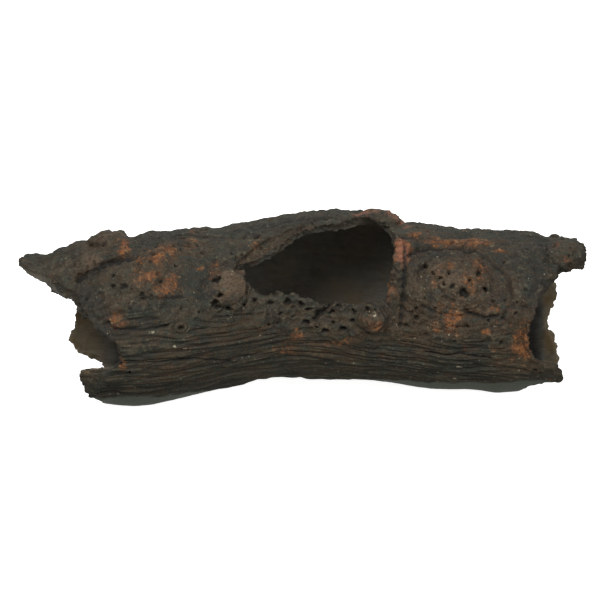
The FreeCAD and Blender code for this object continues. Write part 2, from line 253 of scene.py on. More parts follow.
def smooth_noise(points, scale, seed):
    """Gradient noise, about -1 to 1, whose features are scale across; scale may differ for each axis."""
    cell, inside = lattice(points, scale)
    blend = inside ** 3 * (inside * (inside * 6 - 15) + 10)
    total = np.zeros(len(points), np.float32)
    for corner in itertools.product((0, 1), repeat=3):
        slope = DIRECTIONS[scramble(cell + corner, seed)]
        weight = np.prod(np.where(corner, blend, 1 - blend), axis=1)
        total += weight * np.einsum("ij,ij->i", inside - np.array(corner, np.float32), slope)
    return total * 1.5


def layered_noise(points, scale, seed, layers=3):
    scale = np.asarray(scale, float)
    return sum(smooth_noise(points, scale / 2 ** k, seed + k) / 2 ** k for k in range(layers))


def pores(points, spacing, seed):
    """Distance to the nearest of scattered spots, in mm, and a random share that belongs to that spot."""
    cell, inside = lattice(points, spacing)
    nearest = np.full(len(points), 9.0, np.float32)
    luck = np.zeros(len(points), np.float32)
    for step in itertools.product((-1, 0, 1), repeat=3):
        number = scramble(cell + step, seed)
        gap = np.linalg.norm(inside - step - 0.5 - 0.45 * DIRECTIONS[number], axis=1)
        closer = gap < nearest
        nearest = np.where(closer, gap, nearest)
        luck = np.where(closer, number / 4096, luck)
    return nearest * spacing, luck


def section_curves():
    """The sections' sizes at every millimetre along the log, with the corners between them smoothed."""
    along = np.arange(-170, 171)
    kernel = np.exp(-(np.arange(-14, 15) / 6.0) ** 2)
    kernel /= kernel.sum()
    curves = []
    for column in SECTIONS.T[1:]:
        straight = np.interp(along, SECTIONS[:, 0], column)
        padded = np.pad(straight, 14, mode="edge")
        curves.append(np.convolve(padded, kernel, mode="valid"))
    return along, curves


CURVE_PLACES, CURVES = section_curves()


class Place:
    """Where points lie on the log: along it, round it, and at what share of the bark's radius."""

    def __init__(self, points):
        self.points = points
        self.along = points[:, 0]
        across, rise, depth, height = (np.interp(self.along, CURVE_PLACES, curve) for curve in CURVES)
        level = (points[:, 1] - across) / depth
        upright = (points[:, 2] - rise) / height
        self.turn = np.degrees(np.arctan2(upright, -level))
        self.radius = np.hypot(level, upright)
        outward = np.stack([np.zeros(len(level)), level / depth, upright / height], axis=1)
        self.outward = outward / np.maximum(np.linalg.norm(outward, axis=1), 1e-9)[:, None]

    def offset(self, along, turn):
        """Distance along and round the log from a spot on it, in mm."""
        around = (self.turn - turn + 180) % 360 - 180
        return self.along - along, np.radians(around) * GIRTH

    def spot(self, along, turn, length, width):
        """Share of the way from the middle of an oval patch (0) to its edge (1) and beyond."""
        dx, dw = self.offset(along, turn)
        return np.hypot(dx / length, dw / width)

    def from_line(self, corners):
        """Distance in mm from a line through corner spots."""
        nearest = np.full(len(self.along), 1e3)
        for start, end in zip(corners, corners[1:]):
            dx, dw = self.offset(*start)
            run, climb = end[0] - start[0], math.radians(end[1] - start[1]) * GIRTH
            share = np.clip((dx * run + dw * climb) / (run * run + climb * climb), 0, 1)
            nearest = np.minimum(nearest, np.hypot(dx - share * run, dw - share * climb))
        return nearest


def grain_space(place):
    """Points in a space where the grain runs straight along X: bent round swirls, and in rings inside."""
    along = place.along.copy()
    turned = np.radians(place.turn) * GIRTH
    reach = np.full(len(along), GIRTH)
    for middle, turn, length, width in SWIRLS.values():
        dx, dw = place.offset(middle, turn)
        spread = (dx / length) ** 2 + (dw / width) ** 2
        inside = spread < 1
        pushed = dw / np.maximum(spread, 1) * np.exp(-np.maximum(spread - 1, 0) / 7)
        turned = turned - pushed
        reach = np.where(inside, GIRTH + np.sqrt(spread) * (length + width) / 2, reach)
        along = np.where(inside, middle + 0.12 * dx, along)
    angle = turned / GIRTH
    return np.stack([along, -reach * np.cos(angle), reach * np.sin(angle)], axis=1)


def grooves(space):
    """Long grooves along the grain, from 0 in a groove to 1 on a ridge."""
    sway = [smooth_noise(space, 26, seed) * 1.2 for seed in (5, 6)]
    drift = space + np.stack([np.zeros(len(space)), *sway], axis=1)
    coarse = np.clip(np.abs(smooth_noise(drift, (44, 3.6, 3.6), 11)) * 3.4, 0, 1)
    fine = np.clip(np.abs(smooth_noise(drift, (24, 1.9, 1.9), 12)) * 3.2, 0, 1)
    return 0.6 * coarse ** 0.7 + 0.4 * fine


def bark_share(place):
    """1 on the rough, pitted upper bark and 0 on the grooved lower wood."""
    places, turns = zip(*BARK_EDGE)
    line = np.interp(place.along, places, turns)
    wobble = layered_noise(place.points, 16, 31) * 9
    front = np.abs((place.turn + 180) % 360 - 180) < 90
    rear = ease(150, 165, place.turn % 360) * (1 - ease(215, 230, place.turn % 360))
    upper = ease(-5, 5, place.turn - line + wobble) * (place.turn > -90)
    return np.clip(np.where(front | (place.turn > 0), upper, 0) * (1 - 0.7 * rear), 0, 1)


def smooth_share(place):
    """1 on the smooth underside, below the ragged lower edge of the bark."""
    places, heights = zip(*HEM)
    edge = np.interp(place.along, places, heights)
    ragged = layered_noise(place.points, (14, 9, 9), 41) * 2.2
    return 1 - ease(-1.2, 1.2, place.points[:, 2] - edge + ragged)


def calm_share(place):
    """1 where the bark is smooth: in the rubbed-smooth hollow, in the scoop and on the boss."""
    hollow = np.exp(-place.spot(-59, 45, 10, 14) ** 2)
    scoop = np.exp(-place.spot(117.5, 3, 7, 15) ** 4)
    boss = np.exp(-place.spot(-37, 41, 9, 9) ** 4)
    return np.clip(0.9 * hollow + scoop + 0.75 * boss, 0, 1)


def big_relief(place):
    """The large swells, hollows and lumps of the bark, in mm outwards."""
    height = np.zeros(len(place.along))
    for along, turn, length, width, rise in SWELLS:
        height += rise * np.exp(-place.spot(along, turn, length, width) ** 2)
    below = ease(-2, 1, 64 + 0.35 * (place.along + 107) - place.turn) * (place.turn > 0)
    ledge = place.from_line([(-118, 58), (-107, 63), (-90, 66)])
    height -= 2.2 * np.exp(-(ledge / 5) ** 2) * below
    height -= 2.4 * (1 - ease(3.4, 5.0, place.from_line(WINDOW_RIM)))
    lumps = 1.2 * layered_noise(place.points, 17, 51) + 1.2 * layered_noise(place.points, 7, 54, 2)
    level = np.maximum(0.8 * calm_share(place), smooth_share(place))
    return height + lumps * (0.22 + 0.78 * bark_share(place)) * (1 - level)


def fine_relief(place):
    """Grooves, rings, pits and cracks, in mm outwards."""
    upper = bark_share(place)
    under = smooth_share(place)
    calm = calm_share(place)
    edges = (np.exp(-(place.spot(*swirl) - 1) ** 2 / 0.25) for swirl in SWIRLS.values())
    near_swirl = np.clip(sum(edges), 0, 1)
    strength = 0.3 + 0.9 * (1 - upper) + 0.35 * near_swirl * upper
    height = (grooves(grain_space(place)) - 0.8) * 1.5 * strength * (1 - calm)
    warp = smooth_noise(place.points, 7, 61)
    for name, rise in RINGS.items():
        middle, turn, length, width = SWIRLS[name]
        share = place.spot(middle, turn, length, width) * (1 + 0.12 * warp)
        height += rise * np.sin(share * (length + width) * 1.1 + 3 * warp) * (1 - ease(0.9, 1.2, share))
    gap, luck = pores(place.points, 5.2, 71)
    scattered = (1 - ease(0.4, 0.5 + 1.2 * luck, gap + 0.3 * warp)) * (luck > 0.35)
    height -= 1.5 * scattered * upper * (1 - calm)
    crags = 0.35 - 1.3 * np.abs(smooth_noise(place.points, 5.5, 74))
    crags += 0.4 * layered_noise(place.points, 2.6, 75, 2)
    crest = ease(75, 90, place.turn)
    height += crags * (0.12 + 0.88 * upper) * (1 - 0.9 * calm) * (1 - 0.35 * crest)
    rough = 1 + 0.45 * smooth_noise(place.points, 2.2, 77)
    sideways, upwards = (1.3 * smooth_noise(place.points, 3.2, seed) for seed in (78, 79))
    for along, turn, radius, depth in PITS:
        dx, dw = place.offset(along, turn)
        bent = np.hypot(dx + sideways, (dw + upwards) * 1.25) * rough
        height -= depth * (1 - ease(0.35 * radius, 1.05 * radius, bent))
        height += 0.3 * np.exp(-((bent - 1.4 * radius) / 0.6) ** 2)
    for corners, half_width, depth in CRACKS:
        height -= depth * np.exp(-(place.from_line(corners) * rough / half_width) ** 2)
    height += 0.7 * (1 - under)
    return height * (1 - 0.92 * under) + 0.12 * layered_noise(place.points, 5, 79) * under


# ---- mesh helpers


def link(name, mesh):
    piece = bpy.data.objects.new(name, mesh)
    bpy.context.scene.collection.objects.link(piece)
    return piece


def build(name, shape):
    """An object whose mesh is what shape makes in a bmesh."""
    bm = bmesh.new()
    shape(bm)
    mesh = bpy.data.meshes.new(name)
    bm.to_mesh(mesh)
    bm.free()
    return link(name, mesh)


def applied(piece):
    """Puts the object's modifiers into its mesh."""
    graph = bpy.context.evaluated_depsgraph_get()
    mesh = bpy.data.meshes.new_from_object(piece.evaluated_get(graph))
    piece.modifiers.clear()
    piece.data = mesh
    return piece


def points_of(mesh):
    """The mesh's points in mm and its unit normals."""
    points = np.empty(len(mesh.vertices) * 3, np.float32)
    mesh.vertices.foreach_get("co", points)
    normals = np.empty(len(mesh.vertices) * 3, np.float32)
    mesh.vertices.foreach_get("normal", normals)
    return points.reshape(-1, 3).astype(float) / MM, normals.reshape(-1, 3).astype(float)


def set_points(mesh, points):
    mesh.vertices.foreach_set("co", (points * MM).astype(np.float32).ravel())
    mesh.update()


def voxel_skin(piece, voxel):
    """Gives the object one even, closed skin over all the solids in its mesh."""
    remesh = piece.modifiers.new("skin", "REMESH")
    remesh.mode = "VOXEL"
    remesh.voxel_size = voxel
    return applied(piece)


def sides(place, normals):
    """How much each point is on the bark side and not the cave side, and how much on a broken edge."""
    facing = (normals * place.outward).sum(axis=1)
    outside = ease(WALL_MIDDLE - 0.03, WALL_MIDDLE + 0.03, place.radius + 0.12 * facing)
    broken = (1 - ease(0.45, 0.8, np.abs(facing))) * ease(0.84, 0.88, place.radius)
    return outside, broken


def push_out(piece, relief, inner, rim):
    """Moves the skin along its normals: the bark by relief, the cave by inner, the broken edges by rim."""
    points, normals = points_of(piece.data)
    place = Place(points)
    outside, broken = sides(place, normals)
    distance = outside * relief(place) + (1 - outside) * inner(place)
    distance = distance * (1 - broken) + broken * rim(place)
    points = points + normals * distance[:, None]
    low, high = (np.array(corner) / MM for corner in CAD_BOX)
    slack = (high - low) * 0.012
    slack[2] = 0.0
    high[2] += 1.0
    set_points(piece.data, np.clip(points, low - slack, high + slack))


def cut(piece, cutter, operation):
    modifier = piece.modifiers.new("cut", "BOOLEAN")
    modifier.object = cutter
    modifier.operation = operation
    modifier.solver = "MANIFOLD"
    return applied(piece)


def part_off(log, name, cutter):
    """Saws the part of the log that is inside cutter off as a piece of its own."""
    piece = link(name, log.data.copy())
    cut(piece, cutter, "INTERSECT")
    cut(log, cutter, "DIFFERENCE")
    bpy.data.objects.remove(cutter)
    if not piece.data.polygons:
        raise RuntimeError(f"{name} has no faces")
    return piece


def wobble(cutter, amount, bend=None):
    """Makes a cutter's faces uneven, so that a seam wanders, after bending the cutter if it has a bend."""
    points, _ = points_of(cutter.data)
    if bend:
        points = bend(points)
    drift = np.stack([layered_noise(points, 13, seed, 2) for seed in (91, 93, 95)], axis=1)
    set_points(cutter.data, points + amount * drift)
    return cutter


def block(low, high, amount=0.8, bend=None):
    """A cutter that fills a box, given in mm, with wandering faces."""
    size = Vector(high) - Vector(low)
    middle = (Vector(high) + Vector(low)) / 2

    def shape(bm):
        bmesh.ops.create_cube(bm, size=1, matrix=Matrix.Diagonal((*(size * MM), 1)))
        bmesh.ops.translate(bm, vec=middle * MM, verts=bm.verts)
        bmesh.ops.subdivide_edges(bm, edges=bm.edges, cuts=48, use_grid_fill=True)

    return wobble(build("cutter", shape), amount, bend)


def pebble(middle, radii, lean=0, amount=0.3):
    """A cutter shaped like a pebble, given in mm, leaning about the log's length by degrees."""

    def shape(bm):
        place = Matrix.Translation(Vector(middle) * MM) @ Matrix.Rotation(math.radians(lean), 4, "X")
        matrix = place @ Matrix.Diagonal((*(Vector(radii) * MM), 1))
        bmesh.ops.create_icosphere(bm, subdivisions=5, radius=1, matrix=matrix)

    return wobble(build("cutter", shape), amount)


# ---- the carved log

LOG_NAME = "uncut_log"


def bend_ends(log):
    """Thins the spur's tip and the stub's knob from below, lowers the crest and lifts the stub's foot."""
    points, _ = points_of(log.data)
    along, height = points[:, 0], points[:, 2]
    top = np.interp(along, CURVE_PLACES, CURVES[1] + CURVES[3])
    tip = 0.62 * (1 - ease(-149, -128, along)) * np.clip(top - height, 0, 15)
    knob = 3.4 * ease(128, 138, along) * np.clip((86 - height) / 18, 0, 1)
    crest = sum(drop * np.exp(-((along - middle) / reach) ** 2) for middle, reach, drop in CREST_DROPS)
    foot = 4.5 * ease(113, 130, along) * np.clip(1 - height / 32, 0, 1)
    points[:, 2] += (tip + knob) * ease(44, 54, height) - crest * ease(52, 68, height) + foot
    set_points(log.data, points)


def carved_log():
    """The whole log in one skin, carved all over. It is made once, and the pieces are sawn off it."""
    if LOG_NAME in bpy.data.objects:
        return bpy.data.objects[LOG_NAME]
    sizes = bpy.context.scene.log_sizes

    def shape(bm):
        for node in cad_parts.values():
            bm.from_mesh(node.data)
        bmesh.ops.remove_doubles(bm, verts=bm.verts, dist=0.001 * MM)

    log = build(LOG_NAME, shape)
    voxel_skin(log, sizes.rough_voxel)

    def ragged(place):
        torn = 1.9 * layered_noise(place.points, 8, 101) + 1.6 * layered_noise(place.points, 3.6, 104, 2)
        rise = place.points[:, 2]
        lip = 2.2 * (1 - ease(-108, -98, place.along)) * (rise < 40)
        tip = 1 - 0.75 * (1 - ease(-148, -130, place.along))
        rear = 2.0 * (1 - ease(-114, -106, place.along)) * ease(8, 14, place.points[:, 1])
        return torn * tip * ease(2, 8, rise) - lip + rear * (1 - ease(48, 54, rise))

    bend_ends(log)
    push_out(log, big_relief, lambda place: 1.2 * layered_noise(place.points, 15, 111), ragged)
    voxel_skin(log, sizes.fine_voxel)

    def scratched(place):
        return 0.5 * (grooves(grain_space(place)) - 0.6) + 0.4 * layered_noise(place.points, 4, 115, 2)

    def splintered(place):
        fibres = smooth_noise(place.points, (5, 1.5, 1.5), 121) + 0.8 * smooth_noise(place.points, 2.2, 123)
        tip = 0.3 + 0.7 * ease(-148, -130, place.along)
        return 0.8 * fibres * ease(0.5, 3, place.points[:, 2]) * tip

    push_out(log, fine_relief, scratched, splintered)
    return log


# ---- paint fields


def patch_share(place, patches, seed):
    """How much of a paint lies at each point, from its patches, whose edges wander."""
    edge = 0.5 * layered_noise(place.points, 7, seed)
    share = np.zeros(len(place.along))
    for along, turn, length, width, strength in patches:
        distance = place.spot(along, turn, length, width) + edge * min(1, width / 3)
        share = np.maximum(share, strength * (1 - ease(0.2, 1.6, distance)))
    return share


def put(mesh, name, values):
    kind = "FLOAT_VECTOR" if values.ndim == 2 else "FLOAT"
    attribute = mesh.attributes.new(name, kind, "POINT")
    key = "vector" if values.ndim == 2 else "value"
    attribute.data.foreach_set(key, values.astype(np.float32).ravel())


def paint_fields(mesh):
    """Stores on the mesh what the materials read: the grain's space, the relief, each paint's share, and
    the painted light and shade inside the log.
    """
    points, normals = points_of(mesh)
    place = Place(points)
    outside, broken = sides(place, normals)
    put(mesh, "grain_space", grain_space(place) * 0.1)
    put(mesh, "relief", fine_relief(place))
    put(mesh, "outside", outside)
    put(mesh, "torn", broken)
    put(mesh, "bark", bark_share(place))
    put(mesh, "under", smooth_share(place))
    rim = 1.0 - ease(3.4, 6, place.from_line(WINDOW_RIM))
    behind = ease(115, 135, place.turn % 360) * (1 - ease(235, 255, place.turn % 360))
    rear = 0.8 * behind * ease(-0.1, 0.7, layered_noise(points, 26, 151))
    put(mesh, "rust", np.maximum(patch_share(place, RUST_PATCHES, 131), np.maximum(0.3 * rim, rear)))
    put(mesh, "umber", np.maximum(patch_share(place, UMBER_PATCHES, 141), np.maximum(rim, rear)))
    put(mesh, "shade", patch_share(place, SHADE_PATCHES, 148))
    put(mesh, "tan", patch_share(place, TAN_PATCHES, 143))
    put(mesh, "fleck", patch_share(place, FLECKS, 146))
    tab = 1.1 * np.exp(-place.spot(53, 60, 4, 9) ** 4)
    put(mesh, "blush", np.maximum(1 - ease(2, 6, place.from_line(CURL_EDGE)), tab))
    # Painted daylight inside the log: near the low parts of both mouths and under the window, where light
    # falls in.
    ends = np.maximum(ease(129, 132, place.along), 1 - ease(-112, -98, place.along))
    ends *= 1 - ease(50, 60, points[:, 2])
    window_light = np.exp(-((place.along - 25) / 30) ** 2) * (1 - ease(25, 55, points[:, 2]))
    put(mesh, "painted_daylight", np.clip(ends + 0.5 * window_light, 0, 1))
    # Painted shade inside the log, some way in from each mouth, where little light reaches.
    left_mouth_shade = ease(-104, -94, place.along) * (1 - ease(-50, -30, place.along))
    right_mouth_shade = ease(65, 95, place.along) * (1 - ease(125, 132, place.along))
    put(mesh, "cave_painted_shade", left_mouth_shade + right_mouth_shade)


# ---- materials


class Wire:
    """A node's output, so that shader maths can be written as Python expressions."""

    def __init__(self, paint, socket):
        self.paint = paint
        self.socket = socket

    def maths(self, operation, *values):
        return self.paint.node("ShaderNodeMath", {"operation": operation}, dict(enumerate(values)))

    def __add__(self, other):
        return self.maths("ADD", self, other)

    def __sub__(self, other):
        return self.maths("SUBTRACT", self, other)

    def __rsub__(self, other):
        return self.maths("SUBTRACT", other, self)

    def __mul__(self, other):
        return self.maths("MULTIPLY", self, other)

    __radd__ = __add__
    __rmul__ = __mul__

    def clipped(self):
        return self.maths("MINIMUM", self.maths("MAXIMUM", self, 0.0), 1.0)


class Paint:
    """A material being mixed."""

    def __init__(self, name):
        self.material = bpy.data.materials.new(name)
        self.material.use_nodes = True
        self.tree = self.material.node_tree
        self.shader = self.tree.nodes["Principled BSDF"]

    def feed(self, socket, value):
        if isinstance(value, Wire):
            self.tree.links.new(value.socket, socket)
        elif socket.type == "RGBA":
            socket.default_value = (*value, 1)
        else:
            socket.default_value = value

    def node(self, kind, settings=None, values=None, output=0):
        """Adds a node: its settings first, then the values or links of its sockets."""
        node = self.tree.nodes.new(kind)
        for name, setting in (settings or {}).items():
            setattr(node, name, setting)
        for socket, value in (values or {}).items():
            self.feed(node.inputs[socket], value)
        return Wire(self, node.outputs[output])

    def field(self, name, output="Fac"):
        return self.node("ShaderNodeAttribute", {"attribute_name": name}, output=output)

    def noise(self, where, scale, detail=4.0, roughness=0.55):
        values = {"Vector": where, "Scale": scale, "Detail": detail, "Roughness": roughness}
        return self.node("ShaderNodeTexNoise", {"noise_dimensions": "3D"}, values)

    def stretched(self, where, scale):
        return self.node("ShaderNodeMapping", {"vector_type": "POINT"}, {"Vector": where, "Scale": scale})

    def step(self, value, low, high):
        """0 below low, 1 above high, smooth between."""
        values = {"Value": value, "From Min": low, "From Max": high}
        return self.node("ShaderNodeMapRange", {"interpolation_type": "SMOOTHSTEP"}, values)

    def mix(self, share, first, second):
        """Colours mixed by share. A Mix node's colour sockets come after those for numbers and vectors."""
        factor, first_colour, second_colour, mixed = 0, 6, 7, 2
        values = {factor: share, first_colour: first, second_colour: second}
        return self.node("ShaderNodeMix", {"data_type": "RGBA"}, values, mixed)


def painted_resin(name, washes, gloss, relief_bump):
    """Cast resin, painted in washes over a dark ground, with dry paint and painted highlight on its high
    places and dark wash and painted shade in its hollows.
    """
    colours = bpy.context.scene.log_colours
    paint = Paint(name)
    where = paint.node("ShaderNodeTexCoord", output="Object")
    grain = paint.field("grain_space", "Vector")
    relief = paint.field("relief")
    bark = paint.field("bark")
    painted = 1 - paint.field("under")
    blotch = paint.noise(where, 60.0, 4.0)
    dab = paint.noise(where, 190.0, 4.0, 0.6)
    speckle = paint.noise(where, 480.0, 4.0, 0.65)
    streaks = paint.noise(paint.stretched(grain, (0.5, 4.5, 4.5)), 1.0, 5.0, 0.6)
    fibres = paint.noise(paint.stretched(grain, (1.3, 14.0, 14.0)), 1.0, 4.0, 0.6)

    ground = paint.mix(paint.step(blotch, 0.38, 0.62), colours.ground, colours.moss)
    ground = paint.mix(paint.step(streaks, 0.48, 0.66) * (1 - bark) * 0.75, ground, colours.slate)
    brown = paint.step(streaks + blotch * 0.6 + dab * 0.3, 0.88, 1.1) * 0.6 * washes
    brown = brown + paint.field("umber") * paint.step(dab * 0.6 + speckle * 0.5, 0.3, 0.68) * 1.1
    colour = paint.mix(brown.clipped() * painted, ground, colours.umber)
    colour = paint.mix((1 - painted) * 0.9, colour, colours.underside)
    tan = paint.step(paint.field("tan") + (dab - 0.5) * 0.9 + (speckle - 0.5) * 0.5, 0.25, 0.9)
    colour = paint.mix(tan * 0.75 * painted, colour, colours.tan)
    halo = paint.step(paint.field("rust") + (dab - 0.5) * 0.9, 0.1, 0.7) * painted
    colour = paint.mix(halo * 0.7, colour, colours.umber)
    rust = paint.field("rust") + (speckle - 0.5) * 1.2 + (dab - 0.5) * 1.5 + (streaks - 0.5) * 0.4
    rust = paint.step(rust, 0.38, 1.15) * painted
    bright = paint.mix(paint.step(speckle + dab * 0.4, 0.66, 0.84), colours.rust, colours.ochre)
    colour = paint.mix(rust * 0.85, colour, bright)
    stray = paint.step(paint.noise(where, 85.0, 5.0, 0.7), 0.6, 0.74) * (0.3 + 0.5 * bark)
    colour = paint.mix(stray * painted, colour, colours.rust)
    tint = paint.noise(paint.stretched(where, (0.75, 1.0, 1.0)), 260.0, 3.0, 0.6)
    colour = paint.mix(paint.step(tint, 0.54, 0.68) * 0.6 * painted, colour, colours.umber)
    colour = paint.mix((1 - paint.step(tint, 0.3, 0.43)) * 0.7 * painted, colour, colours.verdigris)
    grit = paint.noise(where, 1000.0, 2.0, 0.6)
    pocks = (1 - paint.step(grit, 0.34, 0.5)) * (0.25 + 0.45 * bark)
    colour = paint.mix(pocks * painted, colour, colours.hollow)
    colour = paint.mix(paint.step(grit, 0.56, 0.7) * 0.3 * painted, colour, colours.dry_paint_and_highlight)
    blush = paint.field("blush") * paint.step(dab * 0.6 + speckle * 0.4, 0.4, 0.58)
    colour = paint.mix(blush * 0.65, colour, colours.blush)
    # Dark washes and painted shade from the shade patches, with a little darkening over all the bark.
    shade = paint.field("shade") * paint.step(dab + (speckle - 0.5) * 0.5, 0.2, 0.55) + bark * 0.12
    colour = paint.mix(shade.clipped() * 0.75 * painted, colour, colours.hollow)
    # Dark wash and painted shade in pits and grooves: darker where the relief is low, and along the grain's
    # grooves on the lower wood.
    hollows = (1 - paint.step(relief, -1.1, 0.45)) * 0.9
    hollows = hollows + (1 - paint.step(streaks, 0.3, 0.5)) * (1 - bark) * 0.25
    colour = paint.mix(hollows.clipped() * painted, colour, colours.hollow)
    # Dry paint and painted highlight on the relief's high places.
    ridge_paint_and_highlight = paint.step(relief, 0.6, 1.2) * paint.step(speckle + dab * 0.5, 0.65, 0.9) * 0.55
    colour = paint.mix(ridge_paint_and_highlight * painted, colour, colours.dry_paint_and_highlight)
    flecks = paint.step(paint.noise(where, 150.0, 2.0), 0.785, 0.82) * paint.step(streaks, 0.45, 0.55)
    bare = paint.field("fleck") + (speckle - 0.5) * 2.2 + (grit - 0.5) * 1.2
    flecks = flecks + paint.step(bare, 0.35, 0.75)
    colour = paint.mix(flecks.clipped() * painted * 0.55, colour, colours.fleck)
    colour = paint.mix((paint.field("torn") * 0.5 * (1 - rust)).clipped(), colour, colours.torn)
    # Painted daylight: the lit cave colour near the mouths and under the window.
    lit = paint.mix(paint.step(blotch + dab * 0.4, 0.55, 0.85), colours.cave_wash, colours.painted_daylight)
    cave = paint.mix(paint.step(blotch + streaks * 0.5, 0.6, 0.9) * 0.6, colours.cave, colours.cave_wash)
    cave = paint.mix(paint.field("painted_daylight"), cave, lit)
    # Painted shade: the hollow colour laid deep inside the log.
    cave = paint.mix(paint.field("cave_painted_shade") * 0.85, cave, colours.hollow)
    colour = paint.mix((1 - paint.field("outside")).clipped(), colour, cave)

    paint.feed(paint.shader.inputs["Base Color"], colour)
    roughness = 0.6 + 0.3 * speckle - gloss
    paint.feed(paint.shader.inputs["Roughness"], roughness.clipped())
    paint.shader.inputs["Specular IOR Level"].default_value = 0.3
    height = (fibres * 0.6 * (1.15 - bark) + dab * 0.5 * bark + speckle * 0.45) * (0.2 + 0.8 * painted)
    values = {"Strength": relief_bump, "Distance": 1.2 * MM, "Height": height}
    paint.feed(paint.shader.inputs["Normal"], paint.node("ShaderNodeBump", values=values))
    return paint.material


# ---- settings


def colour_setting(name, description, default):
    return bpy.props.FloatVectorProperty(
        name=name, description=description, default=default, subtype="COLOR", min=0, max=1
    )


class LogSizes(bpy.types.PropertyGroup):
    rough_voxel: bpy.props.FloatProperty(
        name="Rough voxel", description="Skin spacing while the large swells are carved",
        default=1.0 * MM, unit="LENGTH", precision=5,
    )
    fine_voxel: bpy.props.FloatProperty(
        name="Fine voxel", description="Skin spacing while the grooves and pits are carved",
        default=0.6 * MM, unit="LENGTH", precision=5,
    )
    most_triangles: bpy.props.IntProperty(
        name="Most triangles", description="Triangles that a piece may have before its skin is thinned",
        default=190000,
    )
    camera_elevation: bpy.props.FloatProperty(
        name="Camera elevation", description="How far the camera looks down", default=math.radians(22),
        subtype="ANGLE",
    )
    camera_distance: bpy.props.FloatProperty(
        name="Camera distance", description="From the middle of the log to the camera", default=4.0,
        unit="LENGTH",
    )
    view_width: bpy.props.FloatProperty(
        name="View width", description="Width that the camera takes in at the log", default=319.2 * MM,
        unit="LENGTH",
    )


class LogColours(bpy.types.PropertyGroup):
    ground: colour_setting("Ground", "Dark paint under the washes", (0.0135, 0.0142, 0.0098))
    moss: colour_setting("Moss", "Grey-green paint on the bark", (0.0265, 0.0275, 0.018))
    slate: colour_setting("Slate", "Cooler streaks along the grain", (0.02, 0.0205, 0.0145))
    verdigris: colour_setting("Verdigris", "Small green touches", (0.021, 0.031, 0.02))
    tan: colour_setting("Tan", "Lighter brown on the boss and lumps", (0.092, 0.061, 0.036))
    umber: colour_setting("Umber", "Brown wash", (0.04, 0.0235, 0.0105))
    rust: colour_setting("Rust", "Rust-orange paint", (0.13, 0.042, 0.0115))
    ochre: colour_setting("Ochre", "Lighter orange paint", (0.23, 0.085, 0.02))
    blush: colour_setting("Blush", "Pink-red paint on the curl's edge", (0.24, 0.095, 0.058))
    # Also the painted shade: in pits and grooves, in the shade patches and deep inside the log.
    hollow: colour_setting("Hollow", "Dark wash that settles in pits and grooves", (0.004, 0.004, 0.0035))
    # Dry paint, and also the painted highlight on the relief's high places.
    dry_paint_and_highlight: colour_setting("Dust", "Dry paint on high places", (0.075, 0.066, 0.042))
    fleck: colour_setting("Fleck", "Small bare flecks", (0.4, 0.36, 0.26))
    underside: colour_setting("Underside", "Smooth paint below the bark", (0.066, 0.076, 0.06))
    torn: colour_setting("Torn wood", "Broken edges", (0.024, 0.017, 0.0105))
    cave: colour_setting("Cave", "Paint inside the log", (0.074, 0.072, 0.063))
    cave_wash: colour_setting("Cave wash", "Brown wash inside the log", (0.105, 0.086, 0.055))
    # Painted daylight, laid inside the log near the mouths and under the window.
    painted_daylight: colour_setting("Daylight", "Ochre wash inside the mouths", (0.09, 0.06, 0.025))
    floor: colour_setting("Floor", "Studio floor", (0.9, 0.9, 0.9))


# ---- pieces


FILL_ROUNDS = 4  # times that folds are cut out, since filling a gap can fold the mesh again


def triangle_count(mesh):
    return len(mesh.loops) - 2 * len(mesh.polygons)


def thin_cave_side(piece):
    """Takes out most of the cave side's triangles, and then some from all over if it still has too many."""
    points, _ = points_of(piece.data)
    cave = piece.vertex_groups.new(name="cave")
    inner = np.flatnonzero(Place(points).radius < WALL_MIDDLE - 0.02)
    cave.add(inner.tolist(), 1.0, "REPLACE")
    share = len(inner) / len(points)
    most = bpy.context.scene.log_sizes.most_triangles
    for group in ("cave", ""):
        thin = piece.modifiers.new("thin", "DECIMATE")
        thin.ratio = 1 - 0.75 * share if group else min(1.0, most / triangle_count(piece.data))
        thin.vertex_group = group
        thin.use_collapse_triangulate = True
        applied(piece)
    piece.vertex_groups.clear()


def drop_crumbs(bm):
    """Deletes every loose bit of the mesh but the largest."""
    largest = []
    waiting = set(bm.verts)
    while waiting:
        front = [waiting.pop()]
        bit = []
        while front:
            vert = front.pop()
            bit.append(vert)
            near = {edge.other_vert(vert) for edge in vert.link_edges} & waiting
            waiting -= near
            front.extend(near)
        if len(bit) > len(largest):
            largest = bit
    bmesh.ops.delete(bm, geom=list(set(bm.verts) - set(largest)), context="VERTS")


def close_pinholes(bm):
    """Cuts out the folds that thinning leaves, where three faces or more share an edge, and fills gaps."""
    bmesh.ops.triangulate(bm, faces=[face for face in bm.faces if len(face.verts) > 3])
    for _ in range(FILL_ROUNDS):
        folds = {face for edge in bm.edges if len(edge.link_faces) > 2 for face in edge.link_faces}
        bmesh.ops.delete(bm, geom=list(folds), context="FACES")
        gaps = [edge for edge in bm.edges if len(edge.link_faces) == 1]
        if not gaps:
            break
        bmesh.ops.holes_fill(bm, edges=gaps, sides=0)
        bmesh.ops.triangulate(bm, faces=[face for face in bm.faces if len(face.verts) > 3])


def finish(piece, node, paint):
    """Thins, smooths, paints and places a sawn-off piece, which stands for its casting."""
    thin_cave_side(piece)
    bm = bmesh.new()
    bm.from_mesh(piece.data)
    bmesh.ops.dissolve_degenerate(bm, dist=0.002 * MM, edges=bm.edges)
    drop_crumbs(bm)
    close_pinholes(bm)
    drop_crumbs(bm)
    bm.to_mesh(piece.data)
    bm.free()
    piece.data.shade_smooth()
    piece.data.set_sharp_from_angle(angle=math.radians(70))
    paint_fields(piece.data)
    piece.data.materials.clear()
    piece.data.materials.append(paint)
    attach(piece, "root")
    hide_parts(node)


